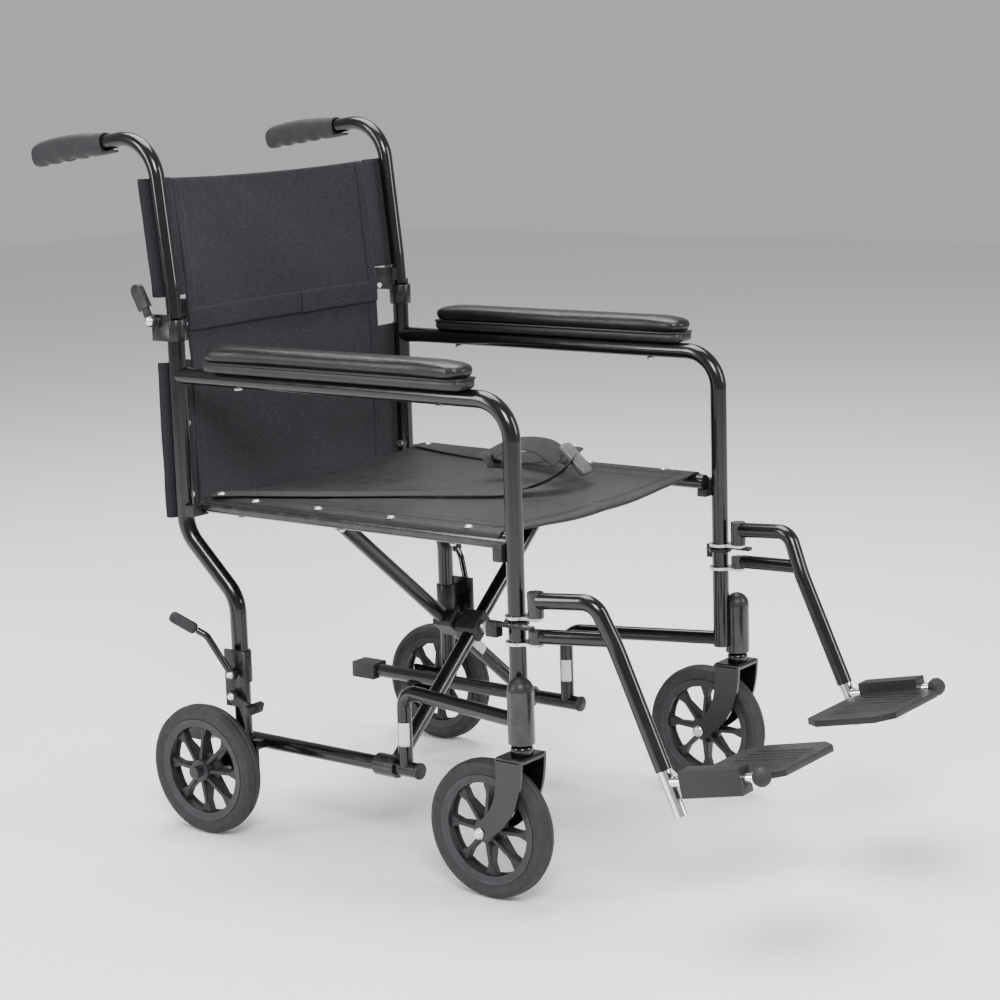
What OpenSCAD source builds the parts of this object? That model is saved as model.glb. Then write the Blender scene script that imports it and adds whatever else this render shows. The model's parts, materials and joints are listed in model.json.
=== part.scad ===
// Folding transport wheelchair with four small wheels: a cross-braced tubular
// frame, swing-away footrests, fold-down back, sling seat and wheel locks.
// Z is up, the sitter faces -Y, +X is the sitter's left. The ground is Z = 0.

/* [Frame] */
// half of the width between the centre lines of the two side frames
side_x = 256; // [220:1:290]
// height of the arm tube's centre line
arm_z = 672; // [620:1:700]
// height of the seat rails' centre line
seat_z = 482; // [440:1:520]
// half of the width between the lower rails
rail_x = 199; // [170:1:215]
// height of the lower rails' centre line
rail_z = 124; // [115:1:140]
// outside diameter of the post and arm tubes
post_d = 24; // [20:1:28]
// outside diameter of the rail and brace tubes
rail_d = 22; // [18:1:25]

/* [Wheels] */
// outside radius of all four wheels
wheel_r = 96; // [90:1:102]
// width of a tyre
tyre_w = 32; // [24:1:36]
// number of spokes in a wheel
spokes = 8; // [5:1:10]
// distance from the front wheel axles to the rear wheel axles
wheelbase = 518; // [480:1:540]
// how far a front wheel trails behind its swivel
trail = 54; // [40:1:60]

/* [Back] */
// height of the fold-down hinge of the back canes
hinge_z = 752; // [730:1:770]
// height of the upper bend of the back canes
grip_z = 1015; // [980:1:1030]
// length of a hand grip
grip_len = 146; // [120:1:160]

/* [Footrests] */
// tilt of the footplates, front edge up, in degrees
plate_tilt = 12; // [0:1:20]
// size of a footplate across the chair
plate_w = 168; // [140:1:175]
// size of a footplate along the chair
plate_l = 138; // [110:1:150]

/* [Upholstery] */
// thickness of the back upholstery
back_t = 5; // [3:0.5:8]
// thickness of the seat sling
sling_t = 5; // [3:0.5:8]
// how far the seat sling sags in the middle
sag = 10; // [5:1:25]

/* [Hidden] */
$fn = 40;
ax_y = 316.3;
post_r = post_d / 2;
rear_r = post_r + 0.4;
rail_r = rail_d / 2;
front_y = -556;
rear_y = 36;
low_y = -46;
wheel_x = 278;
caster = [-275, -wheelbase - trail];
hinge = [-side_x, 36, hinge_z];
brace_y = [-290, -240];
seat_x = 240;
brace_k = rail_x / (rail_x + seat_x);
pivot_z = rail_z + (seat_z - rail_z) * brace_k;
slant = atan2(69, 152);
ext_top = [-241, -702, 359];
ext_end = [-241, -771, 207];
plate_at = [-241, -792, 196];
gap = 0.3;
brake_pivots = [[-62, 247], [-60, 214]];
lever_bend = [-side_x - 44, -35, 305];
lever_dir = [-0.455, 0.725, 0.517];
black = [0.06, 0.06, 0.065];
dark = [0.16, 0.17, 0.18];
cloth = [0.2, 0.21, 0.23];
metal = [0.72, 0.73, 0.75];

// ---------- helpers ----------

function unit(v) = v / norm(v);

module mir() { mirror([1, 0, 0]) children(); }

// rear axle frame to the part's own origin
module set() { translate([0, ax_y, 0]) children(); }

module rod(p, q, r) {
    d = q - p;
    translate(p)
        rotate([0, acos(d[2] / norm(d)), atan2(d[1], d[0])])
            cylinder(h = norm(d), r = r);
}

// elbow at b between a and c, with centre-line radius br
module elbow(a, b, c, br, r) {
    u = unit(a - b);
    v = unit(c - b);
    phi = acos(u * v);
    t = br / tan(phi / 2);
    o = b + unit(u + v) * br / sin(phi / 2);
    x = unit(b + u * t - o);
    y = -u;
    z = cross(x, y);
    multmatrix([[x[0], y[0], z[0], o[0]], [x[1], y[1], z[1], o[1]], [x[2], y[2], z[2], o[2]], [0, 0, 0, 1]])
        rotate_extrude(angle = 180 - phi)
            translate([br, 0])
                circle(r = r + 0.06);
}

function cut(a, b, c, br) = br / tan(acos(unit(a - b) * unit(c - b)) / 2);

// bent tube through the points p, with one bend radius for each inner point;
// the straights run a little way into the elbows
module bent(p, br, r) {
    n = len(p);
    for (i = [0 : n - 2]) {
        d = unit(p[i + 1] - p[i]);
        s = i == 0 ? 0 : cut(p[i - 1], p[i], p[i + 1], br[i - 1]);
        e = i == n - 2 ? 0 : cut(p[i], p[i + 1], p[i + 2], br[i]);
        lap = 0.5;
        rod(p[i] + d * (s > 0 ? s - lap : 0), p[i + 1] - d * (e > 0 ? e - lap : 0), r);
    }
    for (i = [1 : n - 2])
        elbow(p[i - 1], p[i], p[i + 1], br[i - 1], r);
}

// pan-head bolt along +X from a point on a face
module bolt_x(p, r = 5, h = 3) {
    translate(p)
        rotate([0, 90, 0])
            cylinder(h = h, r = r);
}

// ---------- side frame ----------

module right_side_frame() color(black) set() {
    x = -side_x;
    difference() {
        union() {
            // arm tube, front post and rear post in one bent loop
            bent([[x, front_y, 232], [x, front_y, arm_z], [x, rear_y, arm_z]], [52], post_r);
            bent([[x, rear_y, hinge_z - 14], [x, rear_y, 444], [x + 12, low_y, 350],
                [x + 12, low_y, rail_z - 22]], [60, 60], rear_r);
            // lower rail with its rear stub, and the upright riser to the front post
            rod([-rail_x, -333, rail_z], [-rail_x, 62, rail_z], rail_r);
            bent([[-rail_x, -312, rail_z], [-rail_x, -312, 238], [x, front_y, 244]], [26], rail_r - 0.6);
            // axle tube and the gusset that ties rail, post and axle together
            rod([-rail_x + 8, 0, wheel_r], [x - 2, 0, wheel_r], 13);
            translate([-rail_x - 34, -58, wheel_r - 14])
                cube([5, 72, 52]);
            translate([-rail_x - 34, low_y - 8, rail_z - 6])
                cube([34, 16, 12]);
            // swivel housing of the front wheel
            translate([caster[0], caster[1], 222])
                cylinder(h = 72, r = 18);
        }
        translate([caster[0], caster[1], 200])
            cylinder(h = 84, r = 7 + gap);
        rod([-rail_x + 20, 0, wheel_r], [x - 20, 0, wheel_r], 6.2);
    }
}

module left_side_frame() mir() right_side_frame();

// blocks that the seat rails drop into, and the cap on the swivel housing
module right_saddles() color(dark) set() {
    difference() {
        union() {
            translate([-side_x - 13, front_y + post_r + 0.2, seat_z - 22])
                cube([32, 15, 24]);
            translate([-side_x - 13, rear_y - rear_r - 15.2, seat_z - 14])
                cube([32, 15, 16]);
        }
        translate([-seat_x - rail_r - gap, -600, seat_z - rail_r - gap])
            cube([2 * (rail_r + gap), 700, 50]);
    }
    translate([caster[0], caster[1], 294.2])
        difference() {
            sphere(r = 17.6);
            translate([0, 0, -30])
                cube([60, 60, 60], center = true);
            translate([-side_x - caster[0], front_y - caster[1], -1])
                cylinder(h = 40, r = post_r + gap);
        }
}

module left_saddles() mir() right_saddles();

// padded block on a thin base, with rounded long edges
module right_arm_pad() color(black) set() {
    translate([-side_x - 10, 0, 0]) {
        translate([0, -34, arm_z + 32])
            rotate([90, 0, 0])
                linear_extrude(height = 466) {
                    square([34, 32], center = true);
                    square([54, 12], center = true);
                    for (sx = [-1, 1])
                        for (sz = [-1, 1])
                            translate([sx * 17, sz * 6])
                                circle(r = 10);
                }
        translate([-22, -496, arm_z + post_r + 0.2])
            cube([44, 460, 3.6]);
    }
}

module left_arm_pad() mir() right_arm_pad();

// box step at the rear end of the lower rail, for tipping the chair
module right_tip_pedal() color(black) set() {
    translate([-rail_x - 17, 62.2, rail_z - 13])
        cube([34, 46, 26]);
    translate([-rail_x, -333.2, rail_z])
        rotate([90, 0, 0])
            cylinder(h = 6, r = rail_r + 1);
}

module left_tip_pedal() mir() right_tip_pedal();

// fixed half of the back hinge
module right_hinge_plate() color(dark) set() {
    difference() {
        union() {
            translate([-side_x, rear_y, hinge_z - 30])
                cylinder(h = 30, r = post_r + 5);
            translate([-side_x - 17, rear_y - 4, hinge_z - 30])
                cube([5, 34, 38]);
        }
        translate([-side_x, rear_y, hinge_z - 31])
            cylinder(h = 17.2, r = rear_r + 0.2);
        rod([-side_x - 30, rear_y + 22, hinge_z], [-side_x + 30, rear_y + 22, hinge_z], 4.3);
    }
}

module left_hinge_plate() mir() right_hinge_plate();

// two pins and plates on the front post that carry the footrest hanger
module right_hanger_pins() color(metal) set() {
    difference() {
        union()
            for (z = [385, 350])
                translate([-side_x, front_y, z]) {
                    cylinder(h = 4, r = post_r + 4);
                    translate([-7, -38, 0])
                        cube([14, 36, 4]);
                    translate([0, -31, 4])
                        cylinder(h = 12, r = 5);
                }
        translate([-side_x, front_y, 300])
            cylinder(h = 200, r = post_r + 0.2);
    }
}

module left_hanger_pins() mir() right_hanger_pins();

// plate clamped to the rear post that carries the wheel lock
module right_brake_plate() color(dark) set() {
    x = -side_x + 12;
    difference() {
        union() {
            translate([x, low_y, 226])
                cylinder(h = 46, r = post_r + 4);
            translate([x - 28, low_y - 34, 196])
                cube([4, 40, 84]);
            translate([x - 26, low_y - 10, 232])
                cube([20, 18, 34]);
        }
        translate([x, low_y, 180])
            cylinder(h = 140, r = rear_r + 0.2);
        for (c = brake_pivots)
            rod([x - 40, c[0], c[1]], [x - 20, c[0], c[1]], 4 + gap);
    }
}

module left_brake_plate() mir() right_brake_plate();

module right_rear_axle() color(metal) set() {
    rod([-rail_x + 12, 0, wheel_r], [-wheel_x - 22, 0, wheel_r], 6);
    rod([-rail_x + 20, 0, wheel_r], [-rail_x + 8.2, 0, wheel_r], 10);
    rod([-wheel_x - 21, 0, wheel_r], [-wheel_x - 29, 0, wheel_r], 9);
}

module left_rear_axle() mir() right_rear_axle();

// screw heads on the arm pad, the post and the back hinge
module right_frame_bolts() color(metal) set() {
    for (y = [-440, -80])
        translate([-side_x, y, arm_z - post_r - 2.6])
            cylinder(h = 2.4, r = 6);
    for (z = [496, 600])
        translate([-side_x + rear_r + 0.2, rear_y, z])
            rotate([0, 90, 0])
                cylinder(h = 3, r = 5);
    rod([-side_x - 32, rear_y + 22, hinge_z], [-side_x + 24, rear_y + 22, hinge_z], 4);
}

module left_frame_bolts() mir() right_frame_bolts();

// ---------- cross brace ----------

// brace that is hinged on the right lower rail and carries the left seat rail
module brace(y) {
    difference() {
        union() {
            rod([-rail_x, y, rail_z], [seat_x, y, seat_z], rail_r);
            rod([-rail_x, y - 8, rail_z], [-rail_x, y + 28, rail_z], rail_r + 5);
            rod([seat_x, -541, seat_z], [seat_x, 12, seat_z], rail_r);
        }
        rod([-rail_x, y - 60, rail_z], [-rail_x, y + 60, rail_z], rail_r + gap);
        rod([0, y - 20, pivot_z], [0, y + 20, pivot_z], 5 + gap);
    }
}

module brace_a() color(black) set() brace(brace_y[0]);

module brace_b() color(black) set() mir() brace(brace_y[1]);

module brace_bolt() color(metal) set() {
    rod([0, brace_y[0] - 17, pivot_z], [0, brace_y[1] + 17, pivot_z], 5);
    for (s = [[-20, -14], [11.2, 38.8], [64, 70]])
        rod([0, brace_y[0] + s[0], pivot_z], [0, brace_y[0] + s[1], pivot_z], 9);
}

// ---------- seat ----------

module seat_half() {
    translate([0, -528, 0])
        rotate([-90, 0, 0])
            linear_extrude(height = 528)
                polygon([[-244, -seat_z - rail_r - 1], [-232, -seat_z - rail_r - 2],
                    [-120, -seat_z - rail_r + sag - 4], [-2, -seat_z - rail_r + sag],
                    [-2, -seat_z - rail_r + sag - sling_t], [-120, -seat_z - rail_r + sag - sling_t - 4],
                    [-232, -seat_z - rail_r - 3 - sling_t], [-248, -seat_z - rail_r - sling_t]]);
}

module seat_right() color(black) set() seat_half();

module seat_left() color(black) set() mir() seat_half();

// flat strap of width w through the plan points p
module strap(p, w, t) {
    n = len(p);
    q = [for (i = [0 : n - 1]) let (d = unit(p[min(i + 1, n - 1)] - p[max(i - 1, 0)])) [-d[1], d[0]] * w / 2];
    linear_extrude(height = t)
        polygon(concat([for (i = [0 : n - 1]) p[i] + q[i]], [for (i = [n - 1 : -1 : 0]) p[i] - q[i]]));
}

module belt_right() color(black) set()
    translate([0, 0, seat_z + 21])
        strap([[-218, -30], [-150, -150], [-66, -262], [-24, -330]], 38, 3);

module belt_left() color(black) set()
    translate([0, 0, seat_z + 21]) {
        strap([[22, -380], [60, -389], [91, -389]], 38, 3);
        strap([[153, -354], [178, -290], [200, -190], [212, -30]], 38, 3);
    }

module belt_buckle() color(dark) set()
    translate([94, -408, seat_z + 20])
        cube([52, 46, 12]);

// ---------- back ----------

function cane_path() = [[-side_x, 36, hinge_z + 2], [-side_x, 39, 800],
    [-side_x, 62, grip_z], [-side_x, 298, grip_z - 32]];

module right_cane() color(black) set() {
    p = cane_path();
    g = unit(p[3] - p[2]);
    difference() {
        union() {
            bent([p[0], p[1], p[2], p[3] - g * 14], [200, 62], post_r - 1);
            translate([-side_x + 17.5, rear_y - 4, hinge_z - 6])
                cube([5, 36, 34]);
            translate([-side_x + 2, rear_y - 4, hinge_z + 8])
                cube([18, 10, 20]);
        }
        rod([-side_x - 30, rear_y + 22, hinge_z], [-side_x + 30, rear_y + 22, hinge_z], 4.3);
    }
}

module left_cane() mir() right_cane();

// ribbed rubber hand grip, closed at its rear end
module right_grip() color(dark) set() {
    p = cane_path();
    d = unit(p[3] - p[2]);
    s = p[3] - d * grip_len;
    a = atan2(-d[2], d[1]);
    translate(s)
        rotate([-90 - a, 0, 0])
            rotate_extrude()
                polygon(concat([[post_r - 0.8, 0], [21, 0], [21, 4], [17, 7]],
                    [for (i = [0 : 5]) each [[17, 16 + i * 18], [15.4, 20 + i * 18], [15.4, 26 + i * 18],
                        [17, 30 + i * 18]]],
                    [[18.5, grip_len - 14], [18.5, grip_len - 4], [15, grip_len], [0, grip_len],
                        [0, grip_len - 13], [post_r - 0.8, grip_len - 13]]));
}

module left_grip() mir() right_grip();

// flat panel between z0 and z1, half as wide as w, leaning back by lean over its height
module panel(w, z0, z1, y0, lean) {
    hull()
        for (s = [-1, 1]) {
            translate([s * w, y0 + lean, z1])
                cylinder(h = 0.1, r = back_t / 2, $fn = 16);
            translate([s * w, y0, z0])
                cylinder(h = 0.1, r = back_t / 2, $fn = 16);
        }
}

// panel stretched behind the canes, with a narrower hem that hangs past the hinges
module upper_back() color(cloth) set() {
    panel(side_x - 3, 782, 952, 52.5, 17.5);
    panel(214, 728, 781.8, 52.5, 0);
}

// panel stretched behind the rear posts, narrower above and below them
module lower_back() color(cloth) set() {
    panel(side_x - 3, 480, 690, 52.5, 0);
    panel(226, 458, 479.8, 52.5, 0);
    panel(214, 690.2, 727.6, 52.5, 0);
}

// paddle that frees the back hinge
module right_release() color(dark) set() {
    difference() {
        union() {
            rod([-side_x - 29, rear_y + 22, hinge_z], [-side_x - 23, rear_y + 22, hinge_z], 9);
            translate([-side_x - 28.5, rear_y + 16, hinge_z])
                rotate([-28, 0, 0]) {
                    cube([5, 12, 40]);
                    translate([-2, -4, 22])
                        cube([9, 20, 28]);
                    translate([-2, 6, 50])
                        rotate([0, 90, 0])
                            cylinder(h = 9, r = 9.9);
                }
        }
        rod([-side_x - 30, rear_y + 22, hinge_z], [-side_x + 30, rear_y + 22, hinge_z], 4.3);
    }
}

module left_release() mir() right_release();

// ---------- wheels ----------

module tyre() rotate([0, 90, 0])
    rotate_extrude($fn = 96)
        polygon([[wheel_r - 20, -tyre_w / 2 + 4], [wheel_r - 9, -tyre_w / 2], [wheel_r - 3, -tyre_w / 2 + 3],
            [wheel_r, -4], [wheel_r - 1.5, -1.5], [wheel_r - 1.5, 1.5], [wheel_r, 4],
            [wheel_r - 3, tyre_w / 2 - 3], [wheel_r - 9, tyre_w / 2], [wheel_r - 20, tyre_w / 2 - 4]]);

module wheel() rotate([0, 90, 0])
    difference() {
        union() {
            rotate_extrude($fn = 96)
                polygon([[wheel_r - 31, -11], [wheel_r - 20.2, -13], [wheel_r - 20.2, 13], [wheel_r - 31, 11],
                    [wheel_r - 31, 8], [wheel_r - 27, 7], [wheel_r - 27, -7], [wheel_r - 31, -8]]);
            translate([0, 0, -17])
                cylinder(h = 34, r = 16);
            translate([0, 0, -4])
                cylinder(h = 8, r = 24);
            for (i = [0 : spokes - 1])
                rotate([0, 0, i * 360 / spokes])
                    translate([0, 0, -6])
                        linear_extrude(height = 12)
                            polygon([[12, -4], [12, 4], [48, 3], [wheel_r - 26, 10], [wheel_r - 26, 5],
                                [56, 0], [wheel_r - 26, -5], [wheel_r - 26, -10], [48, -3]]);
            for (i = [0 : spokes - 1])
                rotate([0, 0, i * 360 / spokes])
                    rotate([90, 0, 0])
                        translate([0, 0, -2.5])
                            linear_extrude(height = 5)
                                polygon([[12, -14], [12, 14], [46, 7.5], [wheel_r - 30, 5.5],
                                    [wheel_r - 30, -5.5], [46, -7.5]]);
        }
        translate([0, 0, -30])
            cylinder(h = 60, r = 6 + gap);
    }

module right_rear_tyre() color(dark) set() translate([-wheel_x, 0, wheel_r]) tyre();
module right_rear_wheel() color(dark) set() translate([-wheel_x, 0, wheel_r]) wheel();
module left_rear_tyre() mir() right_rear_tyre();
module left_rear_wheel() mir() right_rear_wheel();
module right_front_tyre() color(dark) set() translate([caster[0], -wheelbase, wheel_r]) tyre();
module right_front_wheel() color(dark) set() translate([caster[0], -wheelbase, wheel_r]) wheel();
module left_front_tyre() mir() right_front_tyre();
module left_front_wheel() mir() right_front_wheel();

// fork with its stem and axle
module right_fork() color(black) set() {
    translate([caster[0], caster[1], 0]) {
        translate([0, 0, 206])
            cylinder(h = 76, r = 7);
        translate([0, 0, 206])
            cylinder(h = 14, r = 15);
        translate([-29, -20, 198])
            cube([58, 46, 8]);
    }
    for (s = [-1, 1])
        translate([caster[0] + s * 24 + (s < 0 ? -5 : 0), 0, 0])
            rotate([90, 0, 90])
                linear_extrude(height = 5)
                    polygon([[caster[1] - 20, 206], [caster[1] - 20, 186], [-wheelbase - 16, 100],
                        [-wheelbase - 12, 84], [-wheelbase + 12, 84], [-wheelbase + 14, 100],
                        [caster[1] + 26, 160], [caster[1] + 26, 206]]);
    rod([caster[0] - 34, -wheelbase, wheel_r], [caster[0] + 34, -wheelbase, wheel_r], 6);
    for (s = [-1, 1])
        rod([caster[0] + s * 29, -wheelbase, wheel_r], [caster[0] + s * 35, -wheelbase, wheel_r], 10);
}

module left_fork() mir() right_fork();

// ---------- footrests ----------

module right_hanger() color(black) set() {
    px = -side_x;
    py = front_y - 31;
    difference() {
        union() {
            bent([[px, py - 6, 412], [px + 6, -676, 418], ext_top, ext_end], [26, 150], post_r - 1);
            rod([px, py - 8.5, 364.5], [px + 13, -694, 370], post_r - 2);
            translate([px, py, 354.3])
                cylinder(h = 17, r = 11);
            translate([px, py, 389.3])
                cylinder(h = 34, r = 11);
        }
        for (z = [350, 385])
            translate([px, py, z])
                cylinder(h = 17.2, r = 5 + gap);
        rod(ext_end + (ext_end - ext_top) * 0.1, ext_end - (ext_end - ext_top) * 0.72, 9 + gap);
    }
}

module left_hanger() mir() right_hanger();

// release bar that turns round the front post and hooks the hanger
module right_latch() color(dark) set() {
    difference() {
        union() {
            translate([-side_x, front_y, 377])
                cylinder(h = 5, r = post_r + 5);
            translate([-side_x - 25, front_y - 40, 377])
                cube([10, 70, 5]);
            translate([-side_x - 25, front_y - 4, 377])
                cube([16, 8, 5]);
            translate([-side_x - 27, front_y + 14, 362])
                cube([14, 18, 20]);
        }
        translate([-side_x, front_y, 370])
            cylinder(h = 20, r = post_r + gap);
    }
}

module left_latch() mir() right_latch();

// chrome tube that slides in the hanger, with the rod the footplate turns on
module right_extension() color(metal) set() {
    d = unit(ext_end - ext_top);
    rod(ext_end - d * 110, ext_end + d * 62, 9);
    translate(plate_at)
        rotate([-plate_tilt, 0, 0]) {
            translate([0, 14, 0])
                rotate([90, 0, 0])
                    cylinder(h = 132, r = 7);
            translate([0, -126, 0])
                sphere(r = 12);
        }
}

module left_extension() mir() right_extension();

module right_footplate() color(dark) set() {
    translate(plate_at)
        rotate([-plate_tilt, 0, 0]) {
            difference() {
                union() {
                    translate([-13, -102, -20])
                        cube([26, 92, 36]);
                    translate([8, -plate_l - 4, -8])
                        linear_extrude(height = 9)
                            polygon([[0, 34], [24, 0], [plate_w - 22, 0], [plate_w, 22], [plate_w, plate_l - 24],
                                [plate_w - 22, plate_l], [26, plate_l], [0, plate_l - 18]]);
                }
                translate([0, 10, 0])
                    rotate([90, 0, 0])
                        cylinder(h = 190, r = 7 + gap);
            }
        }
}

module left_footplate() mir() right_footplate();

// ---------- wheel locks ----------

module right_brake_lever() color(dark) set() {
    c = brake_pivots[0];
    x = -side_x - 21;
    rod([x - 8, c[0], c[1]], [x, c[0], c[1]], 8);
    rod([x - 4, c[0], c[1]], [x + 11, c[0], c[1]], 4);
    bent([[x - 5, c[0], c[1]], lever_bend, lever_bend + lever_dir * 16], [20], 5);
}

module left_brake_lever() mir() right_brake_lever();

module right_brake_grip() color(black) set()
    rod(lever_bend + lever_dir * 16.3, lever_bend + lever_dir * 60, 8.5);

module left_brake_grip() mir() right_brake_grip();

module right_brake_shoe() color(metal) set() {
    c = brake_pivots[1];
    x = -side_x - 21;
    rod([x - 6, c[0], c[1]], [x, c[0], c[1]], 8);
    rod([x - 3, c[0], c[1]], [x + 11, c[0], c[1]], 4);
    translate([x - 6, c[0], c[1]])
        rotate([20, 0, 0]) {
            translate([0.5, -42, -5])
                cube([5, 42, 10]);
            translate([-12, -45, -7])
                cube([34, 8, 14]);
        }
}

module left_brake_shoe() mir() right_brake_shoe();

right_side_frame();
right_saddles();
right_arm_pad();
right_tip_pedal();
right_hinge_plate();
right_hanger_pins();
right_brake_plate();
right_rear_axle();
right_frame_bolts();
lower_back();
left_side_frame();
left_saddles();
left_arm_pad();
left_tip_pedal();
left_hinge_plate();
left_hanger_pins();
left_brake_plate();
left_rear_axle();
left_frame_bolts();
brace_a();
brace_b();
brace_bolt();
seat_left();
seat_right();
belt_left();
belt_right();
belt_buckle();
right_cane();
left_cane();
right_grip();
left_grip();
upper_back();
right_release();
left_release();
right_rear_wheel();
right_rear_tyre();
left_rear_wheel();
left_rear_tyre();
right_fork();
left_fork();
right_front_wheel();
right_front_tyre();
left_front_wheel();
left_front_tyre();
right_hanger();
left_hanger();
right_latch();
left_latch();
right_extension();
left_extension();
right_footplate();
left_footplate();
right_brake_lever();
left_brake_lever();
right_brake_grip();
left_brake_grip();
right_brake_shoe();
left_brake_shoe();
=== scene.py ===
import json
import math
import random

import bpy
import bmesh
from mathutils import Matrix, Vector, noise


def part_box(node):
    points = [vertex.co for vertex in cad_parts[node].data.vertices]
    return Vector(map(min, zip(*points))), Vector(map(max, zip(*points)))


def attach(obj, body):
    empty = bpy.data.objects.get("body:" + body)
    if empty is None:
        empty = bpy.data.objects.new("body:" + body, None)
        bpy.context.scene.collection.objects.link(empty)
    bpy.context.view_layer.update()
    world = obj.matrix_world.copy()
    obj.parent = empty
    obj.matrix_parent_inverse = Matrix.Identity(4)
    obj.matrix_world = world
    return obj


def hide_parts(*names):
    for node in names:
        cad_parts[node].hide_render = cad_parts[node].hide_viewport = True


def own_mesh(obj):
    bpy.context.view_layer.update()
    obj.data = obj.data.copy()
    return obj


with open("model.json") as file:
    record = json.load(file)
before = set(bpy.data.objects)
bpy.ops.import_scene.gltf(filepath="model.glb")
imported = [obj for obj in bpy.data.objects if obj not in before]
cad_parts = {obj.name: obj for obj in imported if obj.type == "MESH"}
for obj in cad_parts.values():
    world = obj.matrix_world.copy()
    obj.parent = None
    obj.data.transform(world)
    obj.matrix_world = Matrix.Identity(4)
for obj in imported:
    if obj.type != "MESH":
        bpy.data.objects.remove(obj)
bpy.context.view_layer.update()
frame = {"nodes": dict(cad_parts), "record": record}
random.seed(7)

# ---------------------------------------------------------------- places

def middle(node):
    low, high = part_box(node)
    return (low + high) / 2


AX = middle("right_rear_tyre").y            # rear axle
SIDE = 0.256                                # centre lines of the side frames
RAIL_X = 0.240                              # seat rails
RAIL_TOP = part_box("brace_b")[1].z
POST_Y = AX + 0.036                         # rear posts
CASTER_X = 0.275                            # front forks
BRACE_RUN, BRACE_RISE = 0.439, 0.358        # a brace's slope, across and up
SIDES = (("right", -1), ("left", 1))        # each side's name and its sign in X
SEAT_SIDES = (("right", -1, "brace_b"), ("left", 1, "brace_a"))   # with the brace that carries its seat rail


# ---------------------------------------------------------------- camera

def look(azimuth, elevation, roll, eye, lens):
    a, e, r = (math.radians(v) for v in (azimuth, elevation, roll))
    back = Vector((math.sin(a) * math.cos(e), -math.cos(a) * math.cos(e), math.sin(e)))
    flat = Vector((math.cos(a), math.sin(a), 0.0))
    rise = back.cross(flat)
    right = flat * math.cos(r) + rise * math.sin(r)
    up = rise * math.cos(r) - flat * math.sin(r)
    data = bpy.data.cameras.new("camera")
    data.lens = lens
    data.sensor_width = 36.0
    data.clip_end = 50.0
    cam = bpy.data.objects.new("camera", data)
    bpy.context.scene.collection.objects.link(cam)
    m = Matrix((right, up, back)).transposed().to_4x4()
    m.translation = eye
    cam.matrix_world = m
    bpy.context.scene.camera = cam


look(-53.16, 10.93, -1.79, Vector((-2.678, AX - 2.349, 1.125)), 85.07)


# ---------------------------------------------------------------- materials

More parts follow.
